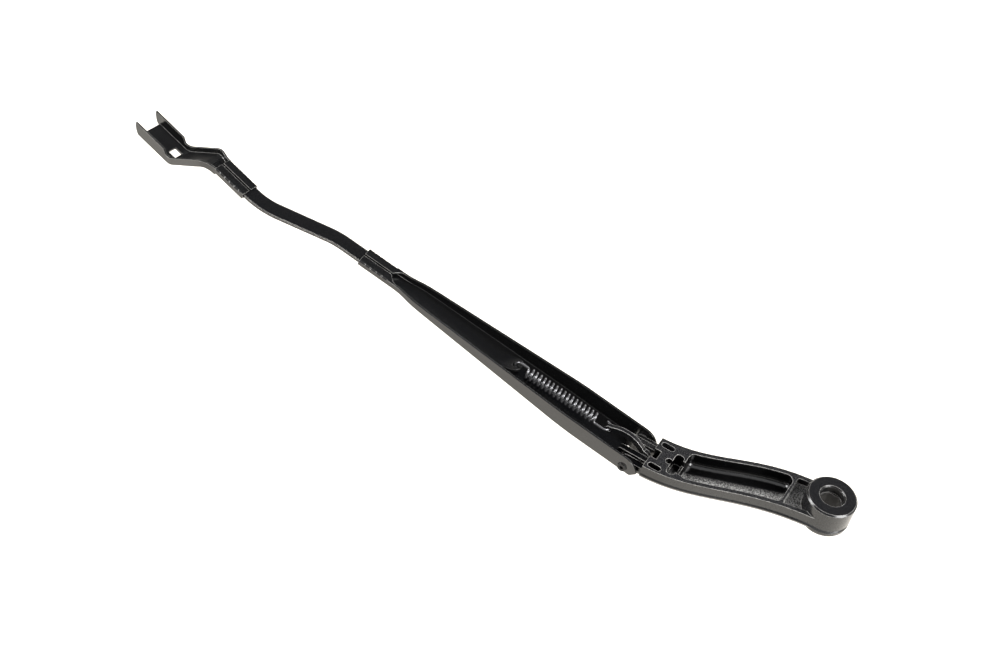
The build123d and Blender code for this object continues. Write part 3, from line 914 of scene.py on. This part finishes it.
@dataclass
class TensionSpring:
    """The round-wire spring with its two hooks, in the arm's own frame."""

    link_eye: Range = (0.0182, 0.0053)
    anchor_eye: Range = (0.083, 0.0039)
    wire_radius: float = 0.00072
    wire_sides: int = 12
    coil_radius: float = 0.003
    coil_start: float = 0.028
    coil_length: float = 0.0465
    coil_turns: float = 17.25
    turn_steps: int = 28
    hook_bend: float = 0.0015
    bend_steps: int = 8
    run_steps: int = 6
    eye_steps: int = 24

    def build(self) -> bpy.types.Object:
        """Draw the wire and let it stand for the spring's solid.

        Returns:
            The finished spring.
        """
        tree = WireTree("round_wire")
        spring = tree.sweep(
            "tension_spring", self.line(), self.wire_radius, self.wire_sides, WIRE_LACQUER)
        settle(spring, Body.ARM, "spring")
        return spring

    def run_and_rise(self) -> Range:
        """From the link's eye to the anchor's eye, along the arm and up."""
        return self.anchor_eye[0] - self.link_eye[0], self.anchor_eye[1] - self.link_eye[1]

    def place(self) -> Matrix:
        """The spring's frame: x from the link's eye to the anchor's eye.

        Returns:
            The matrix from the spring's frame to the shared frame.
        """
        run, rise = self.run_and_rise()
        start = Matrix.Translation((self.link_eye[0], 0.0, self.link_eye[1]))
        return arm_place() @ start @ Matrix.Rotation(-math.atan2(rise, run), 4, "Y")

    def line(self) -> Line:
        """The wire's middle from the end of one hook to the end of the other.

        Returns:
            Points in the shared frame.
        """
        radius = self.coil_radius
        first = self.coil_start - self.link_eye[0]
        last = math.hypot(*self.run_and_rise()) - first - self.coil_length
        lead = math.atan2(self.hook_bend, radius)
        turns = self.coil_turns - lead / math.pi
        steps = round(turns * self.turn_steps)
        points = list(reversed(self.hook(first, -1, lead, first)))
        for index in range(1, steps):
            angle = lead + 2 * math.pi * turns * index / steps
            ahead = first + self.coil_length * index / steps
            points.append(Vector((ahead, radius * math.cos(angle), radius * math.sin(angle))))
        points += self.hook(last, 1, math.pi / 2 - lead, first + self.coil_length)
        place = self.place()
        return [place @ point for point in points]

    def hook(self, room: float, way: int, turn: float, start: float) -> Line:
        """One hook from the coil's end: a bend, a straight run and a half turn round the eye.

        Args:
            room: distance from the coil to the eye.
            way: -1 for the rear hook, 1 for the front hook.
            turn: angle of the coil's end round the axis.
            start: where the coil ends along the axis.

        Returns:
            Points in the spring's frame, from the coil outwards.
        """
        radius, bend = self.coil_radius, self.hook_bend
        crown = math.hypot(radius, bend)
        points = []
        for index in range(self.bend_steps + 1):
            angle = math.pi / 2 * index / self.bend_steps
            ahead = way * bend * (1 - math.cos(angle))
            points.append(Vector((ahead, radius, way * bend * math.sin(angle))))
        side = Vector((0.0, radius, way * bend)).normalized()
        centre = way * (room - crown)
        bend_end, run_end = points[-1], Vector((centre, radius, way * bend))
        for index in range(1, self.run_steps):
            points.append(bend_end.lerp(run_end, index / self.run_steps))
        for index in range(self.eye_steps + 1):
            angle = math.pi * index / self.eye_steps
            ahead = Vector((centre + way * crown * math.sin(angle), 0.0, 0.0))
            points.append(ahead + side * crown * math.cos(angle))
        move = Matrix.Translation((start, 0.0, 0.0)) @ Matrix.Rotation(turn, 4, "X")
        return [move @ point for point in points]


@dataclass
class WiperArm:
    """Every piece of the arm, from the pivot head to the fork."""

    solids: tuple[SolidPiece, ...] = (
        SolidPiece("pivot_head", "arm_head", Body.HEAD, Slot.CAST, BLACK_CASTING,
                   shade_zone=ShadeZone.BORE_AND_LUGS),
        SolidPiece("pin_of_link", "link_pin", Body.HEAD, Slot.PIN, DARK_PIN),
        SolidPiece("lug_bushes", "hinge_bushes", Body.HEAD, Slot.BUSH, BUSH_NYLON),
        SolidPiece("stub_rivets", "hinge_rivets", Body.ARM, Slot.RIVET, RIVET_PAINT),
        SolidPiece("sheet_channel", "retainer", Body.ARM, Slot.SHEET, BLACK_SHEET, CHANNEL_TRIM),
        SolidPiece("steel_bar", "flat_bar", Body.ARM, Slot.BAR, BLACK_BAR, BarTrim()),
        SolidPiece("blade_bracket", "tip_bracket", Body.ARM, Slot.SHEET, BLACK_SHEET,
                   BRACKET_TRIM, ShadeZone.NECK_FLOOR),
        SolidPiece("curved_link", "spring_link", Body.LINK, Slot.LINK, LINK_OXIDE, LinkTrim()),
    )
    spring: TensionSpring = field(default_factory=TensionSpring)

    def build(self) -> list[bpy.types.Object]:
        """Build the pieces in order."""
        return [*(solid.build() for solid in self.solids), self.spring.build()]


@dataclass(frozen=True)
class SoftBox:
    """A soft light that faces the middle of the arm."""

    AIM: ClassVar[Triple] = (0.2, 0.0, 0.0)

    name: str
    place: Triple
    width: float
    height: float
    watts: float

    def build(self) -> None:
        """Hang the light."""
        lamp = bpy.data.lights.new(self.name, "AREA")
        lamp.shape = "RECTANGLE"
        lamp.size = self.width
        lamp.size_y = self.height
        lamp.energy = self.watts
        light = bpy.data.objects.new(self.name, lamp)
        light.location = self.place
        away = Vector(self.place) - Vector(self.AIM)
        light.rotation_euler = away.to_track_quat("Z", "Y").to_euler()
        bpy.context.scene.collection.objects.link(light)


@dataclass
class Studio:
    """A pale floor far below the arm, a soft sky and the lights."""

    floor_depth: float = 0.42
    floor_half: float = 9.0
    floor_colour: Colour = (0.88, 0.84, 0.77)
    floor_tint: float = 1.02
    floor_waves: float = 3.0
    floor_band: Range = (0.3, 0.7)
    floor_roughness: float = 0.9
    horizon: Colour = (1.3, 1.28, 1.22)
    zenith: Colour = (0.035, 0.04, 0.055)
    sky_heights: Range = (0.42, 0.64)
    past_tip: Range = (0.35, 0.65)
    past_tip_light: Range = (1.0, 0.2)
    lights: tuple[SoftBox, ...] = (
        SoftBox("overhead", (0.25, 0.0, 2.6), width=3.2, height=3.2, watts=50.0),
        SoftBox("back_softbox", (0.1, -2.2, 1.22), width=2.2, height=0.36, watts=20.0),
        SoftBox("right_softbox", (-1.6, 0.35, 1.25), width=1.2, height=1.2, watts=100.0),
        SoftBox("left_softbox", (2.1, 0.85, 1.15), width=1.2, height=1.2, watts=100.0),
    )

    def build(self) -> None:
        """Make the floor, the sky and the lights."""
        self.build_floor()
        self.build_sky()
        for light in self.lights:
            light.build()
        bpy.context.scene.view_settings.view_transform = "Standard"

    def build_floor(self) -> None:
        """Make the floor with a faint, even tone."""
        half = self.floor_half
        mesh = bpy.data.meshes.new("floor")
        corners = [(-half, -half), (half, -half), (half, half), (-half, half)]
        mesh.from_pydata([(x, y, -self.floor_depth) for x, y in corners], [], [(0, 1, 2, 3)])
        sheet = NodeSheet("pale_floor")
        tone = sheet.remap(sheet.noise(self.floor_waves), self.floor_band)
        colour = sheet.blend(tone, self.floor_colour, tint(self.floor_colour, self.floor_tint))
        sheet.join(colour, sheet.shader.inputs["Base Color"])
        sheet.shader.inputs["Roughness"].default_value = self.floor_roughness
        mesh.materials.append(sheet.material)
        floor = bpy.data.objects.new("floor", mesh)
        bpy.context.scene.collection.objects.link(floor)

    def build_sky(self) -> None:
        """Make a sky that is bright at the horizon, and dim overhead and past the tip."""
        world = bpy.data.worlds.new("studio")
        world.use_nodes = True
        nodes = world.node_tree.nodes
        links = world.node_tree.links
        nodes.clear()
        output = nodes.new("ShaderNodeOutputWorld")
        background = nodes.new("ShaderNodeBackground")
        coords = nodes.new("ShaderNodeTexCoord")
        parts = nodes.new("ShaderNodeSeparateXYZ")
        ramp = nodes.new("ShaderNodeValToRGB")
        shade = nodes.new("ShaderNodeMapRange")
        stops = zip(ramp.color_ramp.elements, self.sky_heights, (self.horizon, self.zenith))
        for stop, height, colour in stops:
            stop.position = height
            stop.color = (*colour, 1.0)
        for name, number in zip(RANGE_SOCKETS, (*self.past_tip, *self.past_tip_light)):
            shade.inputs[name].default_value = number
        links.new(coords.outputs["Generated"], parts.inputs["Vector"])
        links.new(parts.outputs["Z"], ramp.inputs["Fac"])
        links.new(parts.outputs["X"], shade.inputs["Value"])
        links.new(ramp.outputs["Color"], background.inputs["Color"])
        links.new(shade.outputs["Result"], background.inputs["Strength"])
        links.new(background.outputs["Background"], output.inputs["Surface"])
        bpy.context.scene.world = world


@dataclass
class PhotoCamera:
    """A long lens above the near side, turned so that the arm runs from corner to corner."""

    heading: float = math.radians(163.65)
    elevation: float = math.radians(45.55)
    roll: float = math.radians(17.44)
    lens: float = 90.0
    sensor: float = 36.0
    distance: float = 1.4069
    pivot_pixel: Range = (832.8, 496.0)
    image: Range = (1000.0, 666.0)

    def build(self) -> None:
        """Place the camera and make it the scene's own."""
        data = bpy.data.cameras.new("photo_camera")
        data.lens = self.lens
        data.sensor_width = self.sensor
        camera = bpy.data.objects.new("photo_camera", data)
        camera.matrix_world = self.place()
        bpy.context.scene.collection.objects.link(camera)
        bpy.context.scene.camera = camera

    def place(self) -> Matrix:
        """The camera's place, from where the pivot shows in the image.

        Returns:
            The camera's matrix.
        """
        right = Vector((math.cos(self.heading), -math.sin(self.heading), 0.0))
        away = Vector((math.sin(self.heading), math.cos(self.heading), 0.0))
        up = Vector((0.0, 0.0, 1.0))
        forward = math.cos(self.elevation) * away - math.sin(self.elevation) * up
        tall = math.sin(self.elevation) * away + math.cos(self.elevation) * up
        level = math.cos(self.roll) * right + math.sin(self.roll) * tall
        upright = -math.sin(self.roll) * right + math.cos(self.roll) * tall
        pixel = self.sensor / self.lens / self.image[0] * self.distance
        across = (self.pivot_pixel[0] - self.image[0] / 2) * pixel
        down = (self.pivot_pixel[1] - self.image[1] / 2) * pixel
        spot = -(self.distance * forward + across * level - down * upright)
        turn = Matrix((level, upright, -forward)).transposed().to_4x4()
        return Matrix.Translation(spot) @ turn


def main() -> None:
    """Build the arm, the studio and the camera."""
    logging.basicConfig(level=logging.INFO, format="%(message)s")
    pieces = WiperArm().build()
    Studio().build()
    PhotoCamera().build()
    log.info("%d pieces", len(pieces))


if __name__ == "__main__":
    main()
